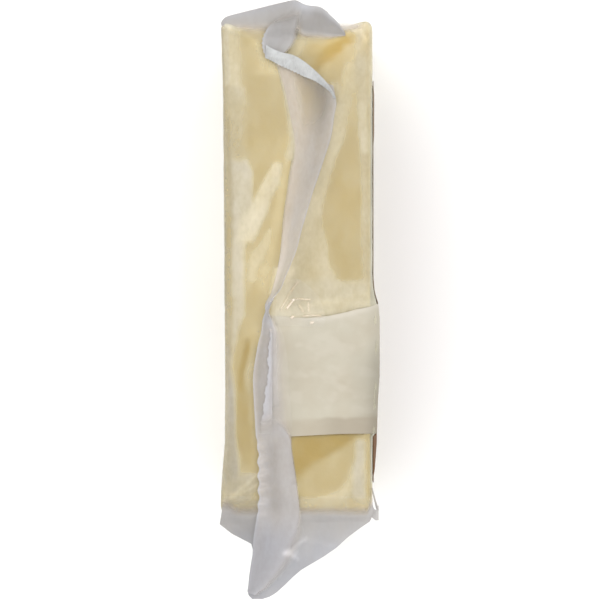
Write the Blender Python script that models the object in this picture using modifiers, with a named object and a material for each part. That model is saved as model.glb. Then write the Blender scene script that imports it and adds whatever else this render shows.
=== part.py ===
"""A block of cheddar sealed in a clear film pouch, with a paper label wrapped over one long edge.

The pack lies on one narrow side, so its other narrow side faces up. The origin is the middle of the
underside, +Z is up, +Y runs along the block towards its folded end, and +X is the face that carries
the label. The pouch is two webs of film sealed all round: its seal stands as a fin along the narrow
side and as a flange on each end, and its corners are flat ears. One ear lies out past the block, one
is folded back over the upper side, and the two lower ones are folded up against the ends.

Lengths are in millimetres, and a mesh is made in metres.
"""
import math

import bmesh
import bpy
from mathutils import Vector

MM = 0.001

# The block, in its film.
BLOCK_LENGTH = 112.0
BLOCK_THICKNESS = 33.8
BLOCK_WIDTH = 55.0
EDGE_ROUND = 2.0
EDGE_SEGMENTS = 3
LENGTH_CUTS = 15
WIDTH_CUTS = 7
THICKNESS_CUTS = 7
END_Y = BLOCK_LENGTH / 2
SIDE_X = BLOCK_THICKNESS / 2

# The upper edge of the folded end is drawn in by the film that gathers there.
PINCH_DEPTH = 3.4
PINCH_CENTRE_X = 4.0
PINCH_REACH_Y = 9.0
PINCH_REACH_Z = 16.0

# Film: two webs and their seal, as one thin sheet.
FILM = 0.8
SINK = 1.0

# The fin along the upper side: place along the block, root, free edge, and rise of the free edge.
FIN_STATIONS = (
    (42.5, -4.2, 5.6, 3.6),
    (38.2, -3.4, 8.4, 4.0),
    (31.2, -1.9, 7.8, 4.3),
    (21.8, -2.2, 5.2, 5.4),
    (11.6, -3.4, 1.6, 6.6),
    (2.0, -4.6, -1.4, 7.8),
    (-6.1, -5.8, -4.6, 8.3),
    (-12.1, -6.2, -8.1, 6.2),
    (-19.3, -4.3, -9.8, 3.4),
    (-28.0, -2.5, -10.2, 2.2),
    (-38.2, -1.2, -9.6, 1.8),
    (-50.0, -0.3, -9.0, 1.7),
    (-61.5, 1.3, -10.1, 1.2),
    (-69.0, -1.6, -10.7, 0.4),
    (-75.2, -8.6, -10.9, 0.0),
)
FIN_ROWS = 57
FIN_STEPS = 4
FIN_CURL = 1.5

# The ear that lies out past the plain end: place along the block, left edge, right edge.
EAR_STATIONS = (
    (-53.0, -16.4, 16.4),
    (-57.8, -17.7, 17.9),
    (-58.9, -17.6, 15.4),
    (-61.0, -14.2, 12.2),
    (-63.0, -10.8, 9.7),
    (-67.3, -10.6, 3.5),
    (-69.3, -10.9, 0.0),
    (-72.9, -11.3, -3.8),
    (-74.7, -11.3, -6.1),
    (-75.8, -10.3, -8.9),
)
EAR_STEPS = 10
EAR_DEPTH = 0.75
EAR_DROOP = 1.8
EAR_TIP_Y = -75.8

# Wedges of film between the block's ends and the ears: place across, reach past the end, depth of
# the foot below the upper side and, where no ear carries it, height of the crest above that side.
PLAIN_GUSSET = (
    (-17.2, 1.2, 3.0),
    (-10.0, 5.0, 7.0),
    (0.0, 7.0, 9.0),
    (8.0, 4.0, 7.0),
    (16.8, 0.9, 3.0),
)
FOLDED_GUSSET = (
    (-17.2, 0.2, 3.0, -1.0),
    (-16.2, 0.8, 4.0, -0.4),
    (-9.0, 2.5, 8.0, 0.7),
    (-1.4, 4.4, 11.0, 1.6),
    (0.4, 4.3, 11.0, 1.6),
    (2.8, 3.2, 10.0, 1.3),
    (5.4, 2.8, 9.0, 1.1),
    (9.0, -0.8, 6.0, 0.7),
    (10.7, -3.3, 4.0, 0.4),
)
GUSSET_INSET = 6.0

# The ear folded back over the upper side, as lines across it: (left point), (right point).
FLAP_LINES = (
    ((-6.0, 57.4, 0.6), (2.6, 58.2, 0.8)),
    ((-6.6, 55.2, 2.5), (1.2, 56.4, 2.7)),
    ((-7.7, 53.2, 2.9), (0.2, 53.6, 3.2)),
    ((-8.0, 50.6, 2.7), (-1.4, 50.0, 3.3)),
    ((-7.1, 47.6, 1.9), (-1.8, 47.3, 3.0)),
)
FLAP_ROWS = 9
FLAP_STEPS = 4

# The crimped seal band that crosses from the flap to the fin's free corner: upper, lower edge.
BAND_LINES = (
    ((-7.6, 50.2, 2.6), (-7.0, 47.4, 1.2)),
    ((-2.1, 48.8, 3.4), (-3.0, 45.8, 1.9)),
    ((2.8, 45.9, 3.9), (1.6, 43.1, 2.5)),
    ((6.4, 42.3, 4.2), (4.7, 41.2, 3.0)),
    ((8.6, 38.6, 4.3), (6.6, 38.2, 3.4)),
)
BAND_ROWS = 13
BAND_STEPS = 2

# The seal flange on each end: it stands along the end's middle and leans towards the label.
FLANGE_FOOT_Z = 6.0
FLANGE_HEAD_Z = BLOCK_WIDTH - 7.0
FLANGE_ROOT_X = -1.5
FLANGE_FREE_X = 6.6
FLANGE_LIFT = 3.4
FLANGE_WAVE = 0.5
FLANGE_ROWS = 13
FLANGE_STEPS = 4

# The lower ears, folded up against the ends: height, half width, stand-off from the end.
TUCK_STATIONS = (
    (1.6, 14.6, 0.0),
    (6.0, 12.0, 0.25),
    (13.0, 8.0, 0.4),
    (19.5, 4.6, 0.5),
)
TUCK_ROWS = 7
TUCK_STEPS = 6

# The paper label: a panel on the +X face and a tab that wraps the upper edge.
PAPER = 0.4
PAPER_GAP = 0.35
PANEL_BOTTOM_Z = 5.0
PANEL_LOW_Y = -49.4
PANEL_HIGH_Y = 42.3
TAB_LOW_Y = -38.4
TAB_HIGH_Y = -11.6
TAB_END_X = -5.7
TAB_RAMP_X = 1.6
TAB_END_LIFT = 1.15
TAB_EDGE_SWEEP = 3.2
TAB_BULGE = 0.6
BULGE_FADE_LOW = 11.0
BULGE_FADE_HIGH = 9.0
PANEL_BELLY = 0.35
CORNER_STEPS = 5

FILM_COLOR = (0.86, 0.78, 0.52, 1.0)
PAPER_COLOR = (0.80, 0.72, 0.58, 1.0)
FILM_ROUGHNESS = 0.25
PAPER_ROUGHNESS = 0.6


def clear_scene():
    for thing in list(bpy.data.objects):
        bpy.data.objects.remove(thing, do_unlink=True)


def collection(name):
    made = bpy.data.collections.new(name)
    bpy.context.scene.collection.children.link(made)
    return made


def material(name, color, roughness):
    made = bpy.data.materials.new(name)
    made.use_nodes = True
    shader = made.node_tree.nodes["Principled BSDF"]
    shader.inputs["Base Color"].default_value = color
    shader.inputs["Roughness"].default_value = roughness
    shader.inputs["Metallic"].default_value = 0.0
    return made


def add_mesh(name, bm, home):
    """A new object in `home` that holds the mesh `bm`, which is in millimetres."""
    bmesh.ops.scale(bm, vec=(MM, MM, MM), verts=bm.verts)
    bmesh.ops.recalc_face_normals(bm, faces=bm.faces)
    mesh = bpy.data.meshes.new(name)
    bm.to_mesh(mesh)
    bm.free()
    made = bpy.data.objects.new(name, mesh)
    home.objects.link(made)
    return made


def smooth_through(points, count):
    """`count` points on a Catmull-Rom curve that passes through `points`."""
    spans = len(points) - 1
    line = []
    for step in range(count):
        place = spans * step / (count - 1)
        span = min(int(place), spans - 1)
        t = place - span
        before = points[max(span - 1, 0)]
        start = points[span]
        end = points[span + 1]
        after = points[min(span + 2, spans)]
        line.append(
            0.5 * (
                2 * start
                + t * (end - before)
                + t * t * (2 * before - 5 * start + 4 * end - after)
                + t ** 3 * (3 * start - before - 3 * end + after)
            )
        )
    return line


def ramp(value, low, high):
    """0 at `low` and 1 at `high`, with a smooth rise between them."""
    t = min(max((value - low) / (high - low), 0.0), 1.0)
    return t * t * (3 - 2 * t)


def grid_sheet(name, rows, thickness, home):
    """A sheet of even thickness about the grid of points `rows`."""
    bm = bmesh.new()
    grid = [[bm.verts.new(point) for point in row] for row in rows]
    for row, next_row in zip(grid, grid[1:]):
        for column in range(len(row) - 1):
            bm.faces.new((row[column], row[column + 1], next_row[column + 1], next_row[column]))
    sheet = add_mesh(name, bm, home)
    thicken(sheet, thickness)
    return sheet


def thicken(sheet, thickness):
    solid = sheet.modifiers.new("thickness", "SOLIDIFY")
    solid.thickness = thickness * MM
    solid.offset = 0.0


def loft(name, rings, home):
    """A closed solid through `rings` of points, capped at both ends."""
    bm = bmesh.new()
    loops = [[bm.verts.new(point) for point in ring] for ring in rings]
    for loop, next_loop in zip(loops, loops[1:]):
        for k in range(len(loop)):
            after = (k + 1) % len(loop)
            bm.faces.new((loop[k], loop[after], next_loop[after], next_loop[k]))
    bm.faces.new(loops[0])
    bm.faces.new(reversed(loops[-1]))
    return add_mesh(name, bm, home)


def across(left, right, steps):
    """Points at even steps from `left` to `right`."""
    return [left.lerp(right, step / steps) for step in range(steps + 1)]


def make_block(home):
    """The film-wrapped block: flat underneath, its folded end drawn in at the upper edge."""
    bm = bmesh.new()
    bmesh.ops.create_cube(bm, size=1.0)
    bmesh.ops.scale(bm, vec=(BLOCK_THICKNESS, BLOCK_LENGTH, BLOCK_WIDTH), verts=bm.verts)
    bmesh.ops.translate(bm, vec=(0.0, 0.0, BLOCK_WIDTH / 2), verts=bm.verts)
    for axis, cuts in enumerate((THICKNESS_CUTS, LENGTH_CUTS, WIDTH_CUTS)):
        along = [
            edge for edge in bm.edges
            if abs((edge.verts[1].co - edge.verts[0].co).normalized()[axis]) > 0.99
        ]
        bmesh.ops.subdivide_edges(bm, edges=along, cuts=cuts, use_grid_fill=True)
    for vert in bm.verts:
        vert.co.y -= pinch(vert.co)
    block = add_mesh("block", bm, home)
    edges = block.modifiers.new("edges", "BEVEL")
    edges.width = EDGE_ROUND * MM
    edges.segments = EDGE_SEGMENTS
    edges.limit_method = "ANGLE"
    return block


def pinch(point):
    """How far a point of the folded end is drawn in towards the block's middle."""
    half = SIDE_X + abs(PINCH_CENTRE_X)
    across_end = max(0.0, 1 - ((point.x - PINCH_CENTRE_X) / half) ** 2)
    corner = ramp(SIDE_X - abs(point.x), 0.0, SIDE_X / 2)
    along_y = ramp(point.y, END_Y - PINCH_REACH_Y, END_Y)
    along_z = ramp(point.z, BLOCK_WIDTH - PINCH_REACH_Z, BLOCK_WIDTH)
    return PINCH_DEPTH * across_end * corner * along_y * along_z


def make_fin(home):
    """The side seal: it leans right by the folded end, stands up, and lies left by the plain end."""
    stations = [Vector(station) for station in FIN_STATIONS]
    rows = []
    for y, root, free, rise in smooth_through(stations, FIN_ROWS):
        row = []
        for step in range(FIN_STEPS + 1):
            t = step / FIN_STEPS
            sink = SINK * max(0.0, 1 - 3 * t) + ear_droop(y)
            z = BLOCK_WIDTH + rise * t ** FIN_CURL - sink
            row.append(Vector((root + (free - root) * t, y, z)))
        rows.append(row)
    return grid_sheet("fin", rows, FILM, home)


def ear_droop(y):
    """How far the ear past the plain end has sunk at `y`."""
    return EAR_DROOP * ramp(-y, END_Y - EDGE_ROUND, -EAR_TIP_Y)


def make_ear(home):
    """The flat ear past the plain end."""
    rows = []
    for y, left, right in EAR_STATIONS:
        z = BLOCK_WIDTH - EAR_DEPTH - ear_droop(y)
        rows.append(across(Vector((left, y, z)), Vector((right, y, z)), EAR_STEPS))
    return grid_sheet("ear", rows, FILM, home)


def plain_gusset_stations():
    """The plain end's stations, with the crest in the middle of the ear."""
    return [(x, reach, foot, -EAR_DEPTH - ear_droop(-END_Y - reach)) for x, reach, foot in PLAIN_GUSSET]


def make_gusset(name, end, stations, home):
    """The wedge of film between an end of the block and its ear; `end` is 1 or -1."""
    rings = []
    for x, reach, foot, lift in stations:
        crest = Vector((x, end * (END_Y + reach), BLOCK_WIDTH + lift))
        inner = min(END_Y + reach, END_Y) - GUSSET_INSET
        rings.append((
            Vector((x, end * inner, BLOCK_WIDTH - EAR_DEPTH)),
            crest,
            crest + Vector((0.0, 0.0, -FILM)),
            Vector((x, end * (END_Y - PINCH_DEPTH), BLOCK_WIDTH - foot - FILM)),
        ))
    return loft(name, rings, home)


def make_lines_sheet(name, lines, row_count, steps, home):
    """A sheet through short lines, each given by its two end points above the upper side."""
    raised = Vector((0.0, 0.0, BLOCK_WIDTH))
    firsts = smooth_through([Vector(line[0]) + raised for line in lines], row_count)
    seconds = smooth_through([Vector(line[1]) + raised for line in lines], row_count)
    rows = [across(first, second, steps) for first, second in zip(firsts, seconds)]
    return grid_sheet(name, rows, FILM, home)


def make_flange(name, end, home):
    """The seal flange on one end of the block."""
    rows = []
    for row in range(FLANGE_ROWS):
        t = row / (FLANGE_ROWS - 1)
        z = FLANGE_FOOT_Z + (FLANGE_HEAD_Z - FLANGE_FOOT_Z) * t
        wave = FLANGE_WAVE * math.sin(3 * math.pi * t)
        root = Vector((FLANGE_ROOT_X, end * (END_Y - SINK - PINCH_DEPTH * ramp(t, 0.7, 1.0)), z))
        free = Vector((FLANGE_FREE_X + wave, end * (END_Y + FLANGE_LIFT + wave), z))
        rows.append(across(root, free, FLANGE_STEPS))
    return grid_sheet(name, rows, FILM, home)


def make_tuck(name, end, home):
    """A lower ear, folded up flat against one end."""
    rows = []
    for z, half, lift in smooth_through([Vector(station) for station in TUCK_STATIONS], TUCK_ROWS):
        y = end * (END_Y + lift)
        rows.append(across(Vector((-half, y, z)), Vector((half, y, z)), TUCK_STEPS))
    return grid_sheet(name, rows, FILM, home)


def make_pouch(home, parts_home, finish):
    """The whole pouch with its contents as one solid."""
    block = make_block(parts_home)
    make_fin(parts_home)
    make_ear(parts_home)
    make_gusset("plain_gusset", -1, plain_gusset_stations(), parts_home)
    make_gusset("folded_gusset", 1, FOLDED_GUSSET, parts_home)
    make_lines_sheet("flap", FLAP_LINES, FLAP_ROWS, FLAP_STEPS, parts_home)
    make_lines_sheet("band", BAND_LINES, BAND_ROWS, BAND_STEPS, parts_home)
    for name, end in (("plain", -1), ("folded", 1)):
        make_flange(name + "_flange", end, parts_home)
        make_tuck(name + "_tuck", end, parts_home)
    parts_home.objects.unlink(block)
    home.objects.link(block)
    fuse(block, parts_home)
    block.name = "film_pouch"
    block.data.name = "film_pouch"
    block.data.materials.append(finish)
    block.data.shade_smooth()
    block.data.set_sharp_from_angle(angle=math.radians(35))
    return block


def fuse(body, others):
    """One Boolean union of `body` and all that `others` holds, which is then removed."""
    union = body.modifiers.new("union", "BOOLEAN")
    union.operation = "UNION"
    union.operand_type = "COLLECTION"
    union.collection = others
    union.solver = "EXACT"
    union.use_self = False
    evaluated = body.evaluated_get(bpy.context.evaluated_depsgraph_get())
    fused = bpy.data.meshes.new_from_object(evaluated)
    body.modifiers.clear()
    body.data = fused
    for thing in list(others.objects):
        bpy.data.objects.remove(thing, do_unlink=True)
    bpy.data.collections.remove(others)


def label_bulge(y):
    """How far the label stands off the face beside its tab, and less above and below it."""
    below = ramp(y, TAB_LOW_Y - BULGE_FADE_LOW, TAB_LOW_Y)
    above = 1 - ramp(y, TAB_HIGH_Y, TAB_HIGH_Y + BULGE_FADE_HIGH)
    return TAB_BULGE * below * above


def label_path():
    """The label's middle line in X and Z, from the panel's lower edge to the tab's end.

    Each point is (x, z, share of the bulge, whether it lies on the tab).
    """
    face_x = SIDE_X + PAPER_GAP + PAPER / 2
    top_z = BLOCK_WIDTH + PAPER_GAP + PAPER / 2
    centre_x = SIDE_X - EDGE_ROUND
    centre_z = BLOCK_WIDTH - EDGE_ROUND
    radius = face_x - centre_x
    path = []
    for share in (0.0, 0.25, 0.5, 0.75):
        belly = PANEL_BELLY * math.sin(math.pi * share)
        path.append((face_x + belly, PANEL_BOTTOM_Z + share * (centre_z - PANEL_BOTTOM_Z), share, False))
    path.append((face_x, centre_z, 1.0, False))
    for step in range(1, CORNER_STEPS + 1):
        angle = math.pi / 2 * step / CORNER_STEPS
        path.append((centre_x + radius * math.cos(angle), centre_z + radius * math.sin(angle),
                     math.cos(angle), True))
    for x in (10.0, 5.5, TAB_RAMP_X):
        path.append((x, top_z, 0.0, True))
    for share in (0.33, 0.67, 1.0):
        path.append((TAB_RAMP_X + (TAB_END_X - TAB_RAMP_X) * share, top_z + TAB_END_LIFT * share, 0.0, True))
    return path


def label_columns():
    """Places along the block, each with whether the tab has it."""
    columns = [(PANEL_LOW_Y, False), ((PANEL_LOW_Y + TAB_LOW_Y) / 2, False)]
    tab_steps = 5
    for step in range(tab_steps + 1):
        columns.append((TAB_LOW_Y + (TAB_HIGH_Y - TAB_LOW_Y) * step / tab_steps, True))
    above_steps = 6
    for step in range(1, above_steps + 1):
        columns.append((TAB_HIGH_Y + (PANEL_HIGH_Y - TAB_HIGH_Y) * step / above_steps, False))
    return columns


def make_label(home, finish):
    """The paper label as one bent sheet."""
    bm = bmesh.new()
    path = label_path()
    columns = label_columns()
    grid = []
    for x, z, share, on_tab in path:
        row = []
        for y, tab_column in columns:
            if on_tab and not tab_column:
                row.append(None)
                continue
            sweep = TAB_EDGE_SWEEP * ramp(x, TAB_RAMP_X, SIDE_X) * ramp(y, TAB_LOW_Y, TAB_HIGH_Y)
            row.append(bm.verts.new((x + label_bulge(y) * share, y + sweep * on_tab, z)))
        grid.append(row)
    for row, next_row in zip(grid, grid[1:]):
        for column in range(len(columns) - 1):
            corners = (row[column], row[column + 1], next_row[column + 1], next_row[column])
            if None not in corners:
                bm.faces.new(corners)
    label = add_mesh("paper_label", bm, home)
    thicken(label, PAPER)
    label.data.materials.append(finish)
    label.data.shade_smooth()
    label.data.set_sharp_from_angle(angle=math.radians(35))
    return label


def main():
    clear_scene()
    home = collection("sealed_cheddar_block")
    parts_home = collection("pouch_parts")
    make_pouch(home, parts_home, material("film", FILM_COLOR, FILM_ROUGHNESS))
    make_label(home, material("paper", PAPER_COLOR, PAPER_ROUGHNESS))


main()
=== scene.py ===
"""Looks of a block of cheddar sealed in a clear film pouch, with a paper label over one long edge.

The pack lies on one narrow side and the camera looks straight down on the other. Lengths are in
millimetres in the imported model's frame: +Y runs along the block towards its folded end, +X is the
face with the label's panel, and +Z is up. Heights of the loose film are counted from the block's
upper side. A mesh is made in metres.
"""
import math

import bpy
import numpy as np
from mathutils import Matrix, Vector, noise


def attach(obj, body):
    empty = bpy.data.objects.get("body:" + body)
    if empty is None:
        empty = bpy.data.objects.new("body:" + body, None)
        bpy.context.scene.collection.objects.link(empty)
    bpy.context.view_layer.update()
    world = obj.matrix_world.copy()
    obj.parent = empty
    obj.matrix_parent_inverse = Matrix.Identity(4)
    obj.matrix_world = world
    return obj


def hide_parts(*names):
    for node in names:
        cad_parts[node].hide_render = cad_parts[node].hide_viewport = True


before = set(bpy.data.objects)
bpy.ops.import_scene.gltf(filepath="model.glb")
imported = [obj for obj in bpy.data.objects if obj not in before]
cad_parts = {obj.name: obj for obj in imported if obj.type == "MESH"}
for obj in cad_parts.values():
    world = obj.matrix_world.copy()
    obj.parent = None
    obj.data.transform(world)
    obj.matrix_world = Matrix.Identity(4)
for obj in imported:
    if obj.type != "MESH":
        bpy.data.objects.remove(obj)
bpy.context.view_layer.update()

MM = 0.001

# The block in its film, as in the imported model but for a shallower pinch.
LENGTH = 112
THICKNESS = 33.8
WIDTH = 55
EDGE_ROUND = 2
END_Y = LENGTH / 2
SIDE_X = THICKNESS / 2
CHEESE_INSET = 0.35

# Thickness of the film in its loose sheets.
CRINKLE_FILM = 0.08
FOLD_FILM = 0.1
FIN_FILM = 0.12
EAR_FILM = 0.14

# How far the folded end is drawn in, and where.
PINCH_DEPTH = 2.4
PINCH_CENTRE_X = 4
PINCH_HALF_WIDTH = 16
PINCH_REACH_Y = 9
PINCH_REACH_Z = 16

# The photograph: its side in pixels, the size of a pixel on the upper side, and the origin's place in it.
PHOTO_SIDE = 600
PIXEL = 0.2276
ORIGIN_PX = (298.25, 266)
# The camera's lens and sensor.
LENS = 200
SENSOR = 36


# -------- numbers and curves


def ramp(value, low, high):
    """0 at `low` and 1 at `high`, with a smooth rise between them."""
    t = np.clip((value - low) / (high - low), 0, 1)
    return t * t * (3 - 2 * t)


def fall(value, low, high):
    """1 at `low` and 0 at `high`, with a smooth fall between them."""
    return 1 - ramp(value, low, high)


def hump(value, low, middle, high):
    """1 at `middle`, falling smoothly to 0 at `low` and `high`."""
    return ramp(value, low, middle) * fall(value, middle, high)


def bell(value, middle, width):
    """1 at `middle`, and nearly 0 at twice `width` from it."""
    return np.exp(-((value - middle) / width) ** 2)


def along_line(points, count):
    """`count` points at even shares of the segments between `points`."""
    points = np.asarray(points, float)
    place = np.linspace(0, len(points) - 1, count)
    return np.stack([np.interp(place, range(len(points)), column) for column in points.T], axis=1)


def smooth_through(points, count):
    """`count` points on a Catmull-Rom curve that passes through `points`."""
    points = np.asarray(points, float)
    spans = len(points) - 1
    place = np.linspace(0, spans, count)
    span = np.minimum(place.astype(int), spans - 1)
    t = (place - span)[:, None]
    before = points[np.maximum(span - 1, 0)]
    start = points[span]
    end = points[span + 1]
    after = points[np.minimum(span + 2, spans)]
    return 0.5 * (
        2 * start
        + t * (end - before)
        + t ** 2 * (2 * before - 5 * start + 4 * end - after)
        + t ** 3 * (3 * start - before - 3 * end + after)
    )


def between(starts, ends, steps):
    """Rows of points at even steps from each start to its end."""
    t = np.linspace(0, 1, steps + 1)[None, :, None]
    return np.asarray(starts)[:, None, :] * (1 - t) + np.asarray(ends)[:, None, :] * t


def path_distance(x, y, path):
    """Distance in the plane to a line through the points of `path`."""
    points = np.stack((np.ravel(x), np.ravel(y)), axis=1)
    path = np.asarray(path, float)
    best = np.full(len(points), 1e9)
    for start, end in zip(path, path[1:]):
        along = end - start
        t = np.clip(((points - start) @ along) / (along @ along), 0, 1)
        best = np.minimum(best, np.linalg.norm(points - start - t[:, None] * along, axis=1))
    return best.reshape(np.shape(x))


def cloud(points, size, seed=0, detail=3, stretch=(1, 1, 1)):
    """Smooth noise from about -1 to 1 with lumps of `size` millimetres; `stretch` makes them longer."""
    flat = np.asarray(points, float).reshape(-1, 3) / (np.array(stretch) * size)
    shift = np.array((seed, seed * 1.7, seed * 0.6))
    values = [noise.fractal(Vector(point), 0.8, 2, detail) for point in flat + shift]
    return np.array(values).reshape(np.shape(points)[:-1])


# -------- meshes


def put_in_scene(name, data):
    item = bpy.data.objects.new(name, data)
    bpy.context.scene.collection.objects.link(item)
    return item


def mesh_object(name, points, faces, finish):
    mesh = bpy.data.meshes.new(name)
    mesh.from_pydata((np.asarray(points) * MM).tolist(), [], faces)
    mesh.materials.append(finish)
    return put_in_scene(name, mesh)


def add_piece(name, points, faces, finish, values):
    """A smooth mesh piece that rides on the root body; `values` are named numbers at its points."""
    piece = mesh_object(name, points, faces, finish)
    for key, numbers in values.items():
        layer = piece.data.attributes.new(key, "FLOAT", "POINT")
        layer.data.foreach_set("value", np.asarray(numbers, np.float32).ravel())
    piece.data.shade_smooth()
    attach(piece, "root")
    return piece


def layers(points):
    """The x, y and z of points. A change made to them in place changes the points."""
    return np.moveaxis(points, -1, 0)


def points_at(x, y, z):
    """Points from their places along the three axes."""
    return np.stack(np.broadcast_arrays(x, y, z), axis=-1)


def grid_normals(rows):
    """Unit normals of a grid of points."""
    normals = np.cross(np.gradient(rows, axis=1), np.gradient(rows, axis=0))
    return normals / np.maximum(np.linalg.norm(normals, axis=2, keepdims=True), 1e-9)


def add_sheet(name, rows, finish, values, thickness, kept=True):
    """A thin closed sheet about the kept points of a grid, with a rim that has its own shading."""
    kept = np.broadcast_to(kept, rows.shape[:2])
    half = grid_normals(rows) * thickness / 2
    upper = (rows + half)[kept]
    lower = (rows - half)[kept]
    count = len(upper)
    index = np.where(kept, np.cumsum(kept).reshape(kept.shape) - 1, -1)
    corners = np.stack((index[:-1, :-1], index[:-1, 1:], index[1:, 1:], index[1:, :-1]), axis=2)
    faces = corners[(corners >= 0).all(axis=2)].tolist()
    edges = dict.fromkeys(edge for face in faces for edge in zip(face, face[1:] + face[:1]))
    rim = [(a, b) for a, b in edges if (b, a) not in edges]
    ring = [a for a, b in rim]
    place = {a: 2 * count + k for k, a in enumerate(ring)}
    faces += [[count + corner for corner in face[::-1]] for face in faces]
    faces += [(place[a], place[a] + len(ring), place[b] + len(ring), place[b]) for a, b in rim]
    points = np.concatenate((upper, lower, upper[ring], lower[ring]))
    source = np.concatenate((np.arange(count), np.arange(count), ring, ring))
    values = {key: np.broadcast_to(level, kept.shape)[kept][source] for key, level in values.items()}
    return add_piece(name, points, faces, finish, values)


def line_sheet(name, lines, counts, finish, looks, thickness, form=None, curve=smooth_through):
    """A film sheet through lines, each given by its two end points above the upper side.

    `counts` are its points along and its steps across. `looks` is its haze, tone and coolness, or a
    function that gives them from the points and the two shares along and across the sheet. `form`
    moves the points before they are used.
    """
    ends = np.array(lines, float)
    count, steps = counts
    rows = between(curve(ends[:, 0], count), curve(ends[:, 1], count), steps)
    u, v = np.meshgrid(np.linspace(0, 1, count), np.linspace(0, 1, steps + 1), indexing="ij")
    if form:
        form(rows, u, v)
    values = look_values(looks(rows, u, v) if callable(looks) else looks)
    return add_sheet(name, rows + np.array((0, 0, WIDTH)), finish, values, thickness)


def look_values(looks):
    haze, tone_and_painted_light, cool = looks
    return {"haze": np.clip(haze, 0, 1), "tone_and_painted_light": tone_and_painted_light, "cool": np.clip(cool, 0, 1)}


def axis_stops(half, spacing, round_steps):
    """Places along one axis of the block: close together over its rounded edges."""
    inner = half - EDGE_ROUND
    count = int(round(2 * inner / spacing)) + 1
    corner = inner + EDGE_ROUND * np.tan(np.linspace(0, math.pi / 4, round_steps + 1))[1:]
    return np.concatenate((-corner[::-1], np.linspace(-inner, inner, count), corner))


def rounded_block(spacings, round_steps):
    """Points, outward normals and faces of the block with rounded edges, standing on z = 0."""
    half = np.array((SIDE_X, END_Y, WIDTH / 2))
    stops = [axis_stops(reach, spacing, round_steps) for reach, spacing in zip(half, spacings)]
    index = {}
    points = []

    def corner(place):
        if place not in index:
            index[place] = len(points)
            points.append([stops[axis][k] for axis, k in enumerate(place)])
        return index[place]

    faces = []
    for axis in range(3):
        one, two = (axis + 1) % 3, (axis + 2) % 3
        for side, end in enumerate((0, len(stops[axis]) - 1)):
            for i, j in np.ndindex(len(stops[one]) - 1, len(stops[two]) - 1):
                ring = []
                for di, dj in ((0, 0), (1, 0), (1, 1), (0, 1)):
                    place = [end, end, end]
                    place[one] = i + di
                    place[two] = j + dj
                    ring.append(corner(tuple(place)))
                faces.append(ring if side else ring[::-1])
    points = np.array(points)
    inner = np.clip(points, EDGE_ROUND - half, half - EDGE_ROUND)
    normals = points - inner
    normals /= np.linalg.norm(normals, axis=1, keepdims=True)
    points = inner + EDGE_ROUND * normals
    points[:, 2] += WIDTH / 2
    return points, normals, faces


# -------- the block's own shape

# The left outline of the upper side: place along the block, and how far it stands out.
LEFT_OUTLINE = (
    (-56, 0.85), (-52, 0.75), (-48, 0.5), (-40, -0.2), (-30, -0.25), (-20, -0.2), (10, 0), (42, 0.3),
    (54, 0.75),
)

# How far the label and the film behind it stand off the +X face, along the block.
LABEL_OUTLINE = (
    (-49.4, 0.1), (-47.3, 0.45), (-41, 0.8), (-37.8, 0.8), (-31, 1), (-25, 1.4), (-12, 1.4), (-9.1, 1.15),
    (-6.4, 0.6), (-3.6, 0.3), (4, 0), (22, 0), (31, 0.35), (40, 0.35), (46, 0),
)

# Where the label's panel begins and ends, and the tab that wraps over the upper edge.
PANEL_BOTTOM_Z = 5
PANEL_TOP_Z = 53
PANEL_LOW_Y = -49.4
PANEL_HIGH_Y = 42.3
TAB_LOW_Y = -38.1
TAB_HIGH_Y = -8.4
FLARE_REACH = 6
# Between these heights the label bulges most.
BELLY_LOW_Z = 20
BELLY_HIGH_Z = 36

# The plain end's bow, and how far round the corner the bows and the bulge reach.
PLAIN_END_BOW = 0.8
LEFT_REACH = 6
PLAIN_END_REACH = 5
BULGE_REACH = 4


def pinch(points):
    """How far each point of the folded end is drawn in towards the block's middle."""
    x, y, z = layers(points)
    across_end = np.maximum(0, 1 - ((x - PINCH_CENTRE_X) / PINCH_HALF_WIDTH) ** 2)
    corner = ramp(SIDE_X - abs(x), 0, SIDE_X / 2)
    along_y = ramp(y, END_Y - PINCH_REACH_Y, END_Y)
    along_z = ramp(z, WIDTH - PINCH_REACH_Z, WIDTH)
    return PINCH_DEPTH * across_end * corner * along_y * along_z


def label_bulge(y, z):
    """How far the label and the film behind it stand off the +X face."""
    over_edge = ramp(y, TAB_LOW_Y - 0.8, TAB_LOW_Y) * fall(y, TAB_HIGH_Y, TAB_HIGH_Y + FLARE_REACH)
    low = ramp(z, PANEL_BOTTOM_Z, BELLY_LOW_Z)
    belly = 1 + 0.4 * (1 - over_edge) * fall(z, BELLY_HIGH_Z, PANEL_TOP_Z)
    high = 1 - (1 - over_edge) * ramp(z, BELLY_HIGH_Z, PANEL_TOP_Z)
    return low * high * belly * np.interp(y, *zip(*LABEL_OUTLINE))


def shape_block(points):
    """The block's true form, with its drawn-in folded end and the shallow bows of two other sides."""
    points = points.copy()
    x, y, z = layers(points)
    y -= pinch(points)
    high = ramp(z, WIDTH / 2, WIDTH)
    x -= high * ramp(-x, SIDE_X - LEFT_REACH, SIDE_X) * np.interp(y, *zip(*LEFT_OUTLINE))
    y -= high * ramp(-y, END_Y - PLAIN_END_REACH, END_Y) * PLAIN_END_BOW
    return points


def bulge_side(points):
    """The film on the +X face, pushed out with the label."""
    points = points.copy()
    x, y, z = layers(points)
    x += ramp(x, SIDE_X - BULGE_REACH, SIDE_X) * label_bulge(y, z)
    return points
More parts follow.
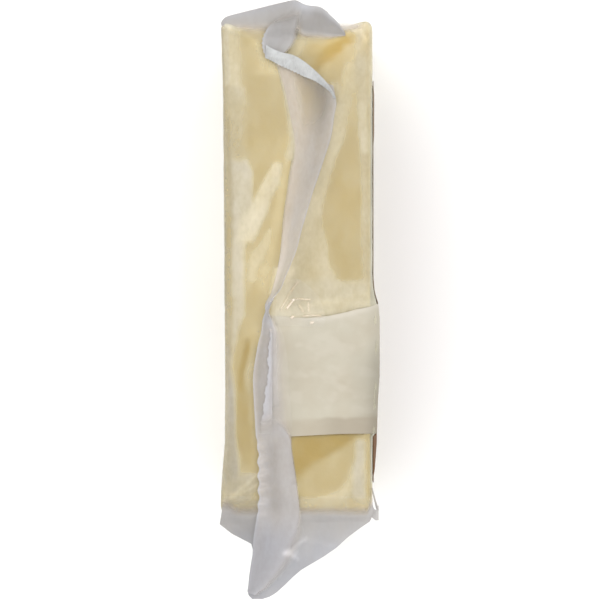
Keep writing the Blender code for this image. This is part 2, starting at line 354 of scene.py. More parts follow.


# -------- where the film clings and where it is hazy

# Strips across the upper side. Each has the softness of its edges, the haze it brings (0 clings and
# shows gold, 1 is whitish), how much lighter it makes the film (in places painted light that makes up
# for shade cast by the loose film), how much of it comes through, and then its places along the block,
# each with its left and right edge there.
STRIPS = {
    # The left part, from the folded end down.
    "left middle, upper": (0.8, 0.2, 0.22, 0.9, (7, -13, -5), (24, -11.5, -1.5), (28.5, -11.5, -1.5)),
    "left middle, lower": (0.8, 0.23, 0.36, 0.9, (-18, -13, -8), (-8, -13, -6), (7, -13, -4.5)),
    "pale left edge": (1.4, 0.52, 0.02, 0.85, (37, -19, -12.3), (47, -19, -13), (55.5, -19, -13.6)),
    "pale left rim": (0.6, 0.76, -0.24, 0.85, (34, -19, -15.8), (54.5, -19, -15.8)),
    "dull left edge": (1.2, 0.5, -0.16, 0.9, (25.5, -19, -12), (40, -19, -12)),
    "dull left rim": (1, 0.56, -0.3, 0.8, (21, -19, -14.6), (40, -19, -15.4)),
    "bright left edge": (0.8, 0.82, -0.25, 0.9, (-22, -15.6, -15), (-19, -15, -14.4), (-16, -15, -13.9),
        (-7.7, -15, -12.5), (6, -15.1, -12.4), (8.6, -15.4, -11), (15, -15.7, -10.6), (21.4, -16, -10.6),
        (23.6, -16.4, -11.6)),
    "left edge, inner": (0.7, 0.68, -0.1, 0.7, (-11, -14.3, -12.4), (0, -14.3, -12.2), (12, -14, -11),
        (21, -14, -10.6)),
    "left rim": (0.6, 0.54, -0.4, 0.85, (-20, -19, -14.9), (33, -19, -15)),
    "streak": (0.8, 0.64, 0.08, 0.85, (6, -14, -10), (8.6, -13.6, -8.6), (11.4, -13, -7.4),
        (14.1, -10.7, -6.4), (16.8, -9.2, -5.2), (19.6, -7.6, -4.1), (22.3, -6, -3.6)),
    # The next two are painted lighter, to make up for the shade that the fin casts on the film left of it.
    "second streak": (0.7, 0.46, 0.28, 0.7, (-2.5, -11, -9.2), (0, -10.9, -8.7), (2.7, -10.5, -7.3),
        (5.5, -8.4, -5.7), (7.7, -6.9, -5.1)),
    "gold by the fin": (0.4, 0.22, 0.55, 0.9, (-7, -8.6, -7.2), (-2.3, -7.8, -6.2), (3.2, -6.4, -5),
        (11.4, -5.9, -3.9), (16.8, -4.6, -3.2), (22.3, -3.5, -2.1), (24.6, -3.2, -1.9)),
    "skirt of the fin": (0.8, 0.54, -0.05, 0.85, (24.6, -2.7, -0.5), (27.8, -2.2, 0.4), (33.2, -2.8, 1.3),
        (38.7, -3.3, 0.4), (42.8, -3.7, -1)),
    # The left part, towards the plain end.
    "left rim, low": (0.7, 0.86, -0.52, 0.9, (-51, -19, -13.6), (-41.9, -19, -13.8), (-30.5, -19, -14.4),
        (-19, -19, -15.4)),
    "gold, low": (0.6, 0.14, 0.04, 0.9, (-44.6, -12.4, -10.9), (-41.9, -13.4, -10.5), (-37.3, -14, -10.5),
        (-30.5, -14, -11.2), (-24.1, -13.9, -12), (-19.6, -13, -11.2), (-16.9, -12.7, -11)),
    "deep line": (0.35, 0.03, -0.02, 0.8, (-27.8, -13.7, -12.6), (-24.6, -13.7, -12.6),
        (-21.4, -12.9, -11.8), (-18.2, -12.3, -11.2)),
    "pale by the fin": (0.6, 0.34, 0.12, 0.7, (-35, -11.2, -9.6), (-29.6, -11.4, -9.8),
        (-26.9, -12.4, -10), (-24.1, -12.3, -10), (-21.4, -11.4, -9.6), (-19.1, -11, -9.4)),
    "low corner": (1.6, 0.66, -0.36, 0.85, (-53.5, -18, -11), (-50.1, -18, -9), (-47.8, -14, -9)),
    # The right part, under the fold.
    "gold by the fold": (0.7, 0.17, 0.35, 0.85, (42.3, 4, 8.2), (44.6, 2.7, 7), (46.4, 1.3, 6.8),
        (48.3, 1.1, 9), (51.4, 1.3, 12.2)),
    "deep gold by the fold": (1.5, 0, 0, 0.95, (45.5, 3.4, 5.4), (46.9, 4.6, 7.6), (48.3, 5.2, 8.6),
        (49.6, 6.3, 10.9), (51, 8.1, 12.2), (51.8, 9.5, 12)),
    "pale by the gusset": (0.8, 0.34, 0.06, 0.9, (51.2, 0.5, 6), (53.3, -1, 8.5)),
    "right of the flap": (0.9, 0.44, 0.15, 0.7, (47, -3.2, 0), (49.5, -2.2, 1.4), (51.5, -1, 1.8)),
    "pale corner": (0.5, 0.58, 0.08, 0.9, (52.8, 13.4, 18), (53.9, 12, 18), (55.1, 11, 18)),
    "right middle": (0.8, 0.33, 0.12, 0.8, (27, 10, 14.5), (50, 10, 14.5)),
    "pale right": (0.9, 0.46, 0.05, 0.8, (28.7, 8.1, 10), (33.7, 8.6, 11.6), (42.3, 10.2, 14),
        (46, 10.6, 14)),
    "right edge": (0.7, 0.54, -0.2, 0.85, (-5.5, 14.5, 19), (0.5, 14.3, 19), (15, 14.3, 19), (35, 14, 19),
        (46.9, 12.8, 19), (52.8, 13.4, 19)),
    "right edge glow": (0.5, 0.62, -0.02, 0.7, (26.4, 14.4, 15.9), (31, 14, 15.9), (36.4, 14, 15.9)),
    "right of the fin": (0.7, 0.49, 0.03, 0.9, (-7.7, -5, 17.7), (-2.3, -2.8, 10), (3.2, -0.9, 7.2),
        (8.6, 0.2, 5.6), (14.1, 2.4, 5.4), (19.6, 4, 7.2), (24.6, 5.4, 8.1), (28.7, 7.2, 10.4),
        (35.5, 8.6, 11.3), (41.4, 7.2, 9.5)),
    "clinging right": (0.6, 0.22, 0.08, 0.9, (-7.3, 13.1, 13.6), (-5, 12.2, 14), (-2.7, 8.6, 13.6),
        (0, 7.2, 13.4), (2.7, 6.8, 13.4), (5.5, 7, 13.6), (13.7, 6.1, 14), (19.1, 7.5, 14),
        (24.6, 8.6, 14), (27.3, 10.4, 14), (30, 11.3, 13.6), (31.6, 11.8, 13.4)),
    "above the label": (0.7, 0.6, -0.09, 0.8, (-13, -6.5, 17.7), (-7.7, -6, 17.7), (-3.9, -3.2, 17.7)),
    # The next four are painted lighter, to make up for the shade that the fin, its neck, and the flap and
    # band cast beside them.
    "right beside the fin": (1.6, 0.5, 0.34, 0.8, (-8.5, -7, -3.6), (-2.3, -4, -0.8), (3.8, -1.6, 1.8),
        (11.5, 0.5, 4), (21.9, 4, 7.4), (30, 6.5, 9.8), (36, 7.2, 10.6)),
    "beside the neck": (1.2, 0.64, 0.5, 0.8, (-12, -6.6, -2), (-6, -6.6, -2.6), (-1, -5, -0.8)),
    "left of the neck": (1.4, 0.2, 0.62, 0.8, (-17, -11.2, -6.8), (-10, -10, -6.5), (-1, -9, -5.8)),
    "left of the flap": (2.2, 0.26, 0.55, 0.8, (44.5, -9.6, -3.6), (49, -10.6, -5), (53, -10.6, -5)),
    "along the label": (0.7, 0.62, 0.12, 0.6, (-11.9, -5, 4), (-11.2, -5, 8), (-10.4, -5, 12),
        (-9.5, -2, 15.5), (-8.6, 4, 17)),
    # The right part, below the label.
    "below the label": (2.2, 0, 0, 0.97, (-48.3, -2, -0.3), (-46.7, -2, 1.1), (-44.8, -2, 3.6),
        (-43, -2, 7), (-41.2, -2, 10.2), (-39.6, -2, 12.5), (-38.2, -2, 14.5)),
    "arc": (1.6, 0.54, 0.04, 0.8, (-53.3, 1.5, 10.6), (-52.1, 6.8, 12.2), (-50.5, 9.5, 14),
        (-48.7, 10.9, 14.5), (-46.4, 11.8, 14)),
    "right edge, low": (0.9, 0.8, -0.26, 0.85, (-53.3, 12.2, 15.7), (-46.4, 12.7, 15.7),
        (-40.2, 13.4, 15.6)),
    "plain end, left": (1.4, 0.54, -0.42, 0.9, (-58, -18.5, -2), (-54.2, -18.5, -2)),
    "plain end, right": (1.2, 0.36, 0.1, 0.85, (-58, -2, 18), (-53.6, -2, 17)),
}
# The film between the strips, the reach of a strip's two ends, and how unevenly its edges run.
BASE_HAZE = 0.22
BASE_TONE = 0.12
END_SOFTNESS = 1.5
WANDER = 0.5


def strip_weight(x, y, stations, softness):
    places, lefts, rights = zip(*stations)
    left = np.interp(y, places, lefts)
    right = np.interp(y, places, rights)
    inside = ramp(x, left - softness, left + softness) * fall(x, right - softness, right + softness)
    starts = ramp(y, places[0] - END_SOFTNESS, places[0])
    return inside * starts * fall(y, places[-1], places[-1] + END_SOFTNESS)


def upper_looks(points):
    """Haze of the film on the upper side and its lightness, which is partly painted light, in strips with
    uneven edges.
    """
    x = points[:, 0] + WANDER * cloud(points, 9, 4.4, 3, (1, 1.8, 1))
    y = points[:, 1] + WANDER * cloud(points, 9, 8.1, 3)
    haze = np.full(len(x), BASE_HAZE)
    tone_and_painted_light = np.full(len(x), BASE_TONE)
    for softness, strip_haze, strip_tone, strength, *stations in STRIPS.values():
        weight = strength * strip_weight(x, y, stations, softness)
        haze += (strip_haze - haze) * weight
        tone_and_painted_light += (strip_tone - tone_and_painted_light) * weight
    return haze, tone_and_painted_light


def side_haze(points):
    """Haze of the film on the sides and ends: pale along the edges, clear in the middle."""
    x, y, z = layers(points)
    gaps = np.sort(np.stack((SIDE_X - abs(x), END_Y - abs(y), WIDTH / 2 - abs(z - WIDTH / 2))), axis=0)
    edge = fall(gaps[1], 2, 7)
    return 0.32 + 0.1 * edge + 0.13 * cloud(points, 17, 3.1, 2)


# -------- wrinkles pulled in the film

# Ridges on the upper side: height, half width, how much painted highlight lies along them, and their path.
RIDGES = (
    (-0.25, 1.5, 0, (16.4, 54), (9.6, 49), (3, 46.6)),
    (0.22, 1, 0.03, (16.2, 53.2), (12.4, 47), (9.4, 38)),
    (0.22, 0.8, 0.04, (-16.6, 55), (-12.4, 53), (-8.4, 49.4)),
    (0.2, 0.5, 0.35, (-17, 55.2), (-15.6, 54.2)),
    (0.2, 0.5, 0.25, (14.2, 53.4), (15.4, 51.6)),
    (0.22, 0.36, 0.14, (-15.3, -52.6), (-12, -50), (-9.3, -47.5)),
    (0.2, 0.36, 0.12, (-15.2, -52.8), (-12, -51.2), (-9.2, -49.8)),
    (0.2, 0.9, 0.03, (4.2, -8.6), (10, -8), (15, -6.4)),
    (0.3, 1.5, 0.02, (-2.6, 28.5), (-7.4, 18), (-11.6, 6)),
    (0.22, 1.2, 0.02, (0, -51.4), (3.8, -52.4), (8.4, -52.8), (11.3, -50.3), (14.7, -45.9)),
    (0.18, 1.6, 0, (-12.6, 40), (-12.9, 10), (-13.6, -20), (-14.2, -44)),
)


def ridge_relief(x, y, ridges):
    """Height of ridges at places on the upper side, and the painted highlight along them."""
    relief = np.zeros(np.shape(x))
    painted_glint = np.zeros(np.shape(x))
    for height, half_width, shine, *path in ridges:
        near = bell(path_distance(x, y, path), 0, half_width)
        relief += height * near
        painted_glint += shine * near
    return relief, painted_glint


# -------- materials

# What the coolest film's colour is multiplied by.
COOL_TINT = (0.93, 0.985, 1.11)
# The colour sockets of a mix node.
MIX_ONE = 6
MIX_TWO = 7
MIX_RESULT = 2


def new_material(name):
    """A material and its empty node tree."""
    made = bpy.data.materials.new(name)
    made.use_nodes = True
    made.node_tree.nodes.clear()
    return made, made.node_tree


def fill_sockets(tree, node, inputs):
    """Give a node's sockets plain values, or link them to the outputs of other nodes."""
    for key, value in inputs.items():
        socket = node.inputs[key]
        if isinstance(value, bpy.types.NodeSocket):
            tree.links.new(value, socket)
        elif socket.type == "RGBA":
            socket.default_value = (*value, 1)
        else:
            socket.default_value = value


def add_node(tree, kind, inputs):
    """The first output of a new node."""
    node = tree.nodes.new(kind)
    fill_sockets(tree, node, inputs)
    return node.outputs[0]


def noise_node(tree, scale, detail, stretch=(1, 1, 1)):
    """Noise in object space; `scale` is lumps to a metre."""
    place = tree.nodes.new("ShaderNodeTexCoord").outputs["Object"]
    place = add_node(tree, "ShaderNodeMapping", {"Vector": place, "Scale": stretch})
    return add_node(tree, "ShaderNodeTexNoise", {"Vector": place, "Scale": scale, "Detail": detail})


def math_node(tree, operation, inputs, kind="ShaderNodeMath"):
    node = tree.nodes.new(kind)
    node.operation = operation
    fill_sockets(tree, node, inputs)
    return node.outputs[0]


def spread(tree, value, low, high, to_low, to_high):
    """`value` moved from one range of numbers to another."""
    limits = {"From Min": low, "From Max": high, "To Min": to_low, "To Max": to_high}
    return add_node(tree, "ShaderNodeMapRange", {"Value": value, **limits})


def attribute(tree, name):
    node = tree.nodes.new("ShaderNodeAttribute")
    node.attribute_name = name
    return node.outputs["Fac"]


def blend(tree, factor, one, two):
    node = tree.nodes.new("ShaderNodeMix")
    node.data_type = "RGBA"
    fill_sockets(tree, node, {"Factor": factor, MIX_ONE: one, MIX_TWO: two})
    return node.outputs[MIX_RESULT]


def toned(tree, color):
    """A colour made lighter or darker by the tone attribute, which is mostly painted light and shade and
    partly the thing's own uneven colour.
    """
    level = math_node(tree, "ADD", {0: attribute(tree, "tone_and_painted_light"), 1: 1})
    return math_node(tree, "SCALE", {0: color, "Scale": level}, "ShaderNodeVectorMath")


def bump(tree, height, strength, distance):
    return add_node(tree, "ShaderNodeBump", {"Height": height, "Strength": strength, "Distance": distance})


def principled(tree, color, roughness, specular, more):
    inputs = {"Base Color": color, "Roughness": roughness, "Specular IOR Level": specular, **more}
    return add_node(tree, "ShaderNodeBsdfPrincipled", inputs)


def mix_shaders(tree, share, one, two):
    return add_node(tree, "ShaderNodeMixShader", {0: share, 1: one, 2: two})


def finished(made, shader):
    """The material, with its surface set."""
    out = made.node_tree.nodes.new("ShaderNodeOutputMaterial")
    made.node_tree.links.new(shader, out.inputs["Surface"])
    return made


def film_material(name, thin, thick, grain, lit_through):
    """Clear film with a milky veil, from three numbers at each point of a piece.

    `haze` sets the veil: `thin` and `thick` are its colour and its cover at no haze and at full
    haze. `tone_and_painted_light` makes it lighter or darker, mostly as painted light and shade, and `cool`
    turns it bluish. `grain` is how many mottles it has to a metre and how strong they are, and
    `lit_through` is the share of its light that comes from behind.
    """
    made, tree = new_material(name)
    scale, amount = grain
    mottle = noise_node(tree, scale, 4, (1, 0.45, 1))
    fine = noise_node(tree, scale * 4.5, 2, (1, 0.6, 1))
    mottle_level = spread(tree, mottle, 0.3, 0.7, 1 - amount, 1 + amount)
    fine_level = spread(tree, fine, 0.3, 0.7, -amount / 2, amount / 2)
    wobble = math_node(tree, "ADD", {0: mottle_level, 1: fine_level})
    cover = math_node(tree, "MULTIPLY", {0: attribute(tree, "haze"), 1: wobble})
    cover.node.use_clamp = True
    color = blend(tree, cover, thin[0], thick[0])
    cooled = math_node(tree, "MULTIPLY", {0: color, 1: COOL_TINT}, "ShaderNodeVectorMath")
    color = toned(tree, blend(tree, attribute(tree, "cool"), color, cooled))
    normal = bump(tree, mottle, 0.2, 0.0004)
    body = principled(tree, color, 0.45, 0.3, {"Normal": normal})
    glow = add_node(tree, "ShaderNodeBsdfTranslucent", {"Color": color})
    clear = add_node(tree, "ShaderNodeBsdfTransparent", {})
    veil = spread(tree, cover, 0, 1, thin[1], thick[1])
    veil = mix_shaders(tree, veil, clear, mix_shaders(tree, lit_through, body, glow))
    gloss = add_node(tree, "ShaderNodeBsdfGlossy", {"Roughness": 0.2, "Normal": normal})
    if lit_through:
        facing = tree.nodes.new("ShaderNodeLayerWeight").outputs["Facing"]
        glancing = math_node(tree, "POWER", {0: facing, 1: 5})
        shine = spread(tree, glancing, 0, 1, 0.024, 0.9)
    else:
        shine = add_node(tree, "ShaderNodeFresnel", {"IOR": 1.36})
    return finished(made, mix_shaders(tree, shine, veil, gloss))


def cheese_material():
    """Young cheddar: gold, a little waxy, with faint curd marks."""
    made, tree = new_material("cheddar")
    broad = noise_node(tree, 60, 3)
    curd = noise_node(tree, 420, 4)
    lumps = spread(tree, broad, 0.35, 0.65, 0, 1)
    gold = blend(tree, lumps, (0.462, 0.323, 0.073), (0.5, 0.354, 0.085))
    color = toned(tree, blend(tree, spread(tree, curd, 0.5, 0.8, 0, 0.25), gold, (0.56, 0.44, 0.15)))
    waxy = {"Subsurface Weight": 0.15, "Subsurface Radius": (1, 0.75, 0.4), "Subsurface Scale": 0.002}
    normal = bump(tree, curd, 0.3, 0.0003)
    return finished(made, principled(tree, color, 0.45, 0.4, {"Normal": normal, **waxy}))


def paper_material():
    """Label paper: `ink` blends to the brown field, `warm` to the glued edge, and `pale` to a lighter
    cream: a painted highlight along the tab's upper edge and paler mottles elsewhere.
    """
    made, tree = new_material("label_paper")
    fibre = noise_node(tree, 900, 5, (1, 0.5, 1))
    broad = noise_node(tree, 120, 3)
    lumps = spread(tree, broad, 0.35, 0.65, 0, 1)
    cream = blend(tree, lumps, (0.445, 0.402, 0.318), (0.48, 0.446, 0.362))
    cream = blend(tree, attribute(tree, "warm"), cream, (0.405, 0.356, 0.279))
    cream = blend(tree, attribute(tree, "pale"), cream, (0.55, 0.51, 0.43))
    flecks = spread(tree, fibre, 0.3, 0.7, 0, 1)
    field = blend(tree, flecks, (0.125, 0.056, 0.017), (0.155, 0.07, 0.025))
    color = toned(tree, blend(tree, attribute(tree, "ink"), cream, field))
    normal = bump(tree, fibre, 0.2, 0.0002)
    return finished(made, principled(tree, color, 0.7, 0.12, {"Normal": normal}))


def floor_material():
    made, tree = new_material("pale_floor")
    return finished(made, principled(tree, (0.97, 0.97, 0.97), 0.8, 0.5, {}))


# -------- the cheese and the film around it

# Where the cheese is painted lighter, in the hollow under the fold, to make up for the shade of the film
# over it.
PAINTED_LIGHT_PATH = ((8, 50.2), (14.5, 52.6))


def make_cheese(finish):
    points, normals, faces = rounded_block((1.6, 1.6, 1.6), 3)
    grain = cloud(points, 6, 1.3)
    points = shape_block(points) - normals * (CHEESE_INSET + 0.08 * (1 + grain))[:, None]
    painted_hollow_light = bell(path_distance(points[:, 0], points[:, 1], PAINTED_LIGHT_PATH), 0, 4)
    add_piece("cheese_block", points, faces, finish, {"tone_and_painted_light": 0.32 * painted_hollow_light * (normals[:, 2] > 0.5)})


def make_skin(finish):
    """The film drawn tight over the cheese."""
    points, normals, faces = rounded_block((0.5, 0.55, 1.1), 4)
    upper = ramp(normals[:, 2], 0.3, 0.9)
    sides = side_haze(points)
    points = shape_block(points)
    haze, tone_and_painted_light = upper_looks(points)
    haze = upper * haze + (1 - upper) * sides + 0.06 * cloud(points, 5, 5, 3, (1, 1.6, 1))
    relief, painted_glint = ridge_relief(points[:, 0], points[:, 1], RIDGES)
    above_floor = fall(-normals[:, 2], 0.3, 0.9)
    relief = upper * relief + (0.06 * cloud(points, 5, 9) + 0.1 * haze) * above_floor
    points = bulge_side(points) + normals * relief[:, None]
    x, _, z = layers(points)
    z[:] = np.maximum(z, 0)
    # The sides are painted lighter near the upper edge on the label's side, against the shade there, and
    # darker near that edge on the other side.
    side_light_and_shade = BASE_TONE + (0.03 + 0.35 * np.sign(x)) * ramp(z, 42, 54)
    tone_and_painted_light = upper * (tone_and_painted_light + painted_glint) + (1 - upper) * side_light_and_shade
    values = look_values((haze, tone_and_painted_light, 0 * haze))
    piece = add_piece("film_skin", points, faces, finish, values)
    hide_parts("film_pouch")


# -------- the seal fin

# Root and free edge of the side seal: it leans right by the folded end, stands up near the
# middle, and lies left past the label, whose end it covers.
FIN_LINES = (
    ((-5.6, 46.6, 0.2), (7.9, 40.9, 2.4)), ((-4.6, 43.7, 0.2), (8.3, 38.9, 2.9)),
    ((-3.6, 39.6, 0.1), (8.6, 36.6, 3.4)), ((-2.4, 34.6, 0.1), (8.2, 34.2, 3.7)),
    ((-1.6, 30.3, 0.1), (7.6, 30.1, 4)), ((-1.3, 25.9, 0.1), (6.3, 25.5, 4.3)),
    ((-2.1, 21.8, 0.1), (5.1, 21.9, 4.6)), ((-2.8, 16.6, 0.1), (3.3, 16.5, 4.9)),
    ((-3.5, 11.6, 0.1), (1.7, 11.5, 5.2)), ((-4.1, 3.8, 0.1), (-0.4, 3.8, 5.8)),
    ((-4.6, 0.5, 0.1), (-1.6, 0.5, 6.3)), ((-5.2, -2.3, 0.1), (-2.8, -2.3, 7.2)),
    ((-5.9, -5, 0.1), (-3.9, -5, 7.9)), ((-6.6, -7.4, 0.2), (-5.6, -7.2, 7.6)),
    ((-6.9, -9, 0.3), (-6.9, -8.9, 6)), ((-6.5, -10.6, 0.4), (-7.5, -10.5, 4.4)),
    ((-5, -12.6, 0.5), (-8.1, -12.4, 2.9)), ((-3.6, -15.2, 0.5), (-8.5, -15.2, 2.1)),
    ((-2.8, -18.6, 0.5), (-9.3, -18.4, 1.6)), ((-2.2, -23.9, 0.5), (-10.1, -23.9, 1.4)),
    ((-1.8, -29.4, 0.5), (-10.2, -29.1, 1.35)), ((-1.5, -34.6, 0.5), (-9.9, -34.8, 1.3)),
    ((-1.4, -38.2, 0.45), (-9.6, -38.7, 1.3)), ((-1.4, -41.2, 0.2), (-9.2, -41.2, 1.3)),
    ((-0.6, -46.4, 0.15), (-9.1, -46.4, 1.3)), ((0, -51, 0.4), (-9.1, -51, 1.2)),
    ((0.4, -54.4, 0.6), (-9.1, -54.6, 1)), ((0.9, -58, 0.3), (-9.7, -58.9, 0.6)),
    ((1.3, -61.5, 0), (-10.3, -63, 0.1)), ((-0.3, -66, -0.3), (-10.5, -66.5, -0.4)),
    ((-3, -69.7, -0.8), (-10.9, -69.6, -0.9)), ((-6.2, -73, -1.4), (-11.3, -72.9, -1.5)),
    ((-9.4, -75.2, -1.8), (-11.4, -74.6, -2)),
)
# How sharply the fin curls up towards its free edge.
FIN_CURL = 1.3
# The sealed edge's puffs: the distance from one to the next, and the place of one.
PUFF_PITCH = 3.27
PUFF_PLACE = -41.2
# The fin's front ply, where the fin lies on the label.
PLY_LINES = (
    ((-5.9, -14, 1.55), (-6.3, -14, 2.1)), ((-5.9, -17, 1.35), (-6.5, -17, 1.8)),
    ((-5.9, -20.7, 1.2), (-6.9, -20.7, 1.6)), ((-5.9, -24.4, 1.1), (-6.8, -24.4, 1.5)),
    ((-5.9, -28, 1.1), (-7.4, -28, 1.45)), ((-5.9, -33.2, 1.1), (-8, -33.2, 1.4)),
    ((-5.9, -38.2, 1.1), (-8.9, -38.3, 1.4)),
)


def fin_form(rows, u, v):
    x, y, z = layers(rows)
    z[:] = z[:, :1] + (z[:, -1:] - z[:, :1]) * v ** FIN_CURL
    z -= np.maximum(0, 1 - 8 * v) * (0.5 * (y > TAB_HIGH_Y) + 0.3 * ramp(-y, 39, 41) * (y > -50))
    z += hump(y, 24, 36, 48) * (0.6 * hump(v, 0, 0.2, 0.45) - 0.7 * hump(v, 0.3, 0.65, 0.98))
    puffs = puff_share(y) * np.cos(2 * math.pi * (y - PUFF_PLACE) / PUFF_PITCH)
    z += 0.42 * puffs * ramp(v, 0.62, 0.95)
    x -= 0.2 * puffs * v ** 4 + 0.65 * np.sin(2 * math.pi * v) * bell(y, -9, 2.6)
    grain = cloud(rows, 4, 2.2, 2, (1, 2, 1))
    z += 0.1 * grain * ramp(v, 0, 0.3)
    x += 0.12 * grain * ramp(v, 0.9, 1)


def puff_share(y):
    """Where the sealed edge is puffed, beside the plain end."""
    return ramp(-y, 38, 42) * fall(-y, 54, 58)


def slant(rows):
    """0 where a sheet lies flat, and up to 1 where it stands: there it is painted lighter, against the
    shade that a standing sheet takes.
    """
    return 1 - abs(grid_normals(rows)[:, :, 2])


def fin_looks(rows, u, v):
    x, y = layers(rows)[:2]
    rim = ramp(v, 0.93, 1)
    upper = ramp(y, -9, -4)
    over_label = ramp(y, TAB_LOW_Y - 2, TAB_LOW_Y + 3) * fall(y, -13, -10)
    over_paper = over_label * ramp(x, -6.4, -5.6)
    past_end = ramp(-y, 55, 64)
    root_side = upper * fall(v, 0.28, 0.56)
    steep = ramp(-y, -13, 0) * fall(-y, 14, 17)
    pocket = hump(y, 25, 39, 50)
    near_root = fall(v, 0.05, 0.45)
    rise = ramp(v / (0.05 + 0.4 * over_label + 0.3 * past_end), 0, 1)
    haze = 0.8 - 0.2 * root_side * (1 - steep) - 0.5 * pocket * hump(v, 0.1, 0.5, 0.95)
    haze += 0.12 * steep + 0.1 * rim - 0.1 * over_label - 0.14 * over_paper
    haze += 0.08 * cloud(rows, 4, 7, 3, (1, 1.8, 1))
    # How much lighter or darker the fin is painted, which is mostly painted light and shade: lighter by the
    # root, on the side that faces the light, on steep parts, and over the label where the fin shades it;
    # darker as painted shade in the pocket under the band; and a painted highlight along the puffed edge
    # and on the ear's creases past the plain end.
    tone_and_painted_light = (0.14 + 0.1 * near_root) * root_side - 0.34 * pocket * hump(v, 0.3, 0.75, 1.1)
    tone_and_painted_light += 0.15 * slant(rows) * upper - 0.1 * hump(y, 6, 22, 36) * ramp(v, 0.5, 0.8) - 0.12
    tone_and_painted_light += 0.08 * (1 - upper) - 0.03 * over_label + over_paper * (0.04 + 0.1 * near_root)
    tone_and_painted_light += 0.12 * steep * fall(v, 0.3, 0.8)
    tone_and_painted_light += over_label * (0.12 * bell(x, -5.4, 1.2) * fall(-y, 26, 34) - 0.12 * bell(x, -6, 0.35))
    tone_and_painted_light += over_label * (0.1 * rim - 0.12 * hump(v, 0.66, 0.85, 0.95))
    tone_and_painted_light += puff_share(y) * (0.1 * ramp(v, 0.78, 0.95) - 0.14 * hump(v, 0.25, 0.62, 0.85))
    crease_highlight = ridge_relief(x, y, EAR_CREASES[:CREASES_ON_FIN])[1]
    tone_and_painted_light += past_end * (0.5 * crease_highlight - 0.14 * ramp(v, 0.2, 0.8))
    tone_and_painted_light -= 0.12 * past_end * (1 - rise) + 0.08 * hump(-y, 4, 10, 17)
    cool = 0.1 + 0.35 * (1 - upper) + 0.5 * rim + 0.3 * over_label + 0.5 * over_paper
    cool += past_end * (1.6 - rise) + 0.4 * hump(-y, 4, 11, 20)
    return haze * rise, tone_and_painted_light, cool


def ply_form(rows, u, v):
    x, y = layers(rows)[:2]
    ragged = 0.16 * np.sin(2 * math.pi * y / 3.4 + 0.6) + 0.1 * np.sin(2 * math.pi * y / 1.3)
    x += ragged * v ** 3


def ply_looks(rows, u, v):
    haze = 0.65 + 0.25 * ramp(v, 0.1, 0.7) + 0.1 * cloud(rows, 3, 9, 3, (1, 2, 1))
    return haze * ramp(u, 0, 0.12) * fall(u, 0.8, 1), 0.07, 1


# -------- the ear past the plain end

# The left and right outline of the ear, in steps from the block to its tip.
EAR_LINES = (
    ((-17, -52.4, 0.4), (16.9, -52.4, 0.4)), ((-17.3, -54.6, 0.35), (17, -54.6, 0.3)),
    ((-17.5, -56.4, 0), (17.1, -56.4, -0.2)), ((-17.9, -58.8, -0.6), (16.3, -58.2, -0.9)),
    ((-15.1, -61, -0.8), (14.1, -59.7, -1)), ((-10.7, -63.3, -0.9), (11.4, -61.7, -1)),
    ((-10.3, -64.9, -1), (8.8, -64.1, -1.1)), ((-10.5, -66.2, -1.1), (5.8, -66.2, -1.3)),
    ((-10.7, -67.4, -1.3), (2.95, -67.9, -1.5)), ((-10.9, -68.7, -1.5), (0.65, -69.3, -1.7)),
    ((-11.2, -70.8, -1.8), (-1.2, -70.9, -1.9)), ((-11.4, -72.8, -2.1), (-3.1, -72.8, -2.1)),
    ((-11.6, -74.2, -2.3), (-5.1, -74.6, -2.3)), ((-11.3, -75.2, -2.4), (-6.6, -75.5, -2.4)),
    ((-10.5, -76, -2.5), (-8.2, -76, -2.5)),
)
# Creases of the ear, told like the ridges, with painted shade where the highlight is below 0. The first
# ones run on over the fin.
CREASES_ON_FIN = 3
EAR_CREASES = (
    (0.3, 0.5, 0.3, (1.4, -62.3), (-0.8, -64), (-3.2, -65.4)),
    (0.2, 0.45, 0.3, (-3.2, -65.4), (-0.9, -66.4), (-0.2, -66.8)),
    (0.1, 0.8, 0.45, (-2.6, -65.3), (-0.8, -65.5)),
    (0.12, 0.7, 0.06, (1.2, -62.7), (5.2, -63.3), (7.6, -64.2)),
    (0, 1.5, 0.14, (16, -58.6), (11, -62), (5, -66.4)),
    (-0.1, 0.9, -0.04, (1.4, -59), (7, -57.8), (14, -57.6)),
    (-0.1, 0.9, -0.04, (-15, -57.6), (-11, -60.4)),
)


def ear_form(rows, u, v):
    x, y, z = layers(rows)
    z += ridge_relief(x, y, EAR_CREASES)[0]
    z += 0.16 * cloud(rows, 9, 2, 2) * ramp(u, 0.1, 0.3)


def ear_looks(rows, u, v):
    x, y = layers(rows)[:2]
    corners = 1.8 * fall(x, -17, -13.5) + 2 * ramp(x, 15.5, 16.8)
    haze = ramp(corners - y, 54.2, 57.6) * (0.9 + 0.08 * cloud(rows, 5, 4, 3))
    # The creases carry painted highlights, and the band where the ear leaves the block is painted lighter
    # against the shade there; the ear is also darker to the left.
    tone_and_painted_light = 0.6 * ridge_relief(x, y, EAR_CREASES)[1] + 0.16 * ramp(x, -12, -6) - 0.3
    tone_and_painted_light += 0.12 * hump(-y, 54, 55.6, 57.6)
    return haze, tone_and_painted_light, 0.2 + 0.7 * ramp(-y, 58, 66)


# The wrinkled film above the label's edge.
CRINKLE_LINES = (
    ((-4.4, -3.2, 0.25), (0.4, -3, 0.25)), ((-4.9, -7, 0.3), (4.4, -6.6, 0.3)),
    ((-5.2, -10.4, 0.5), (5.9, -10.3, 0.55)), ((-5.2, -12, 0.75), (6.1, -12.2, 1)),
    ((-5, -13.6, 0.75), (5.6, -13.8, 0.95)),
)
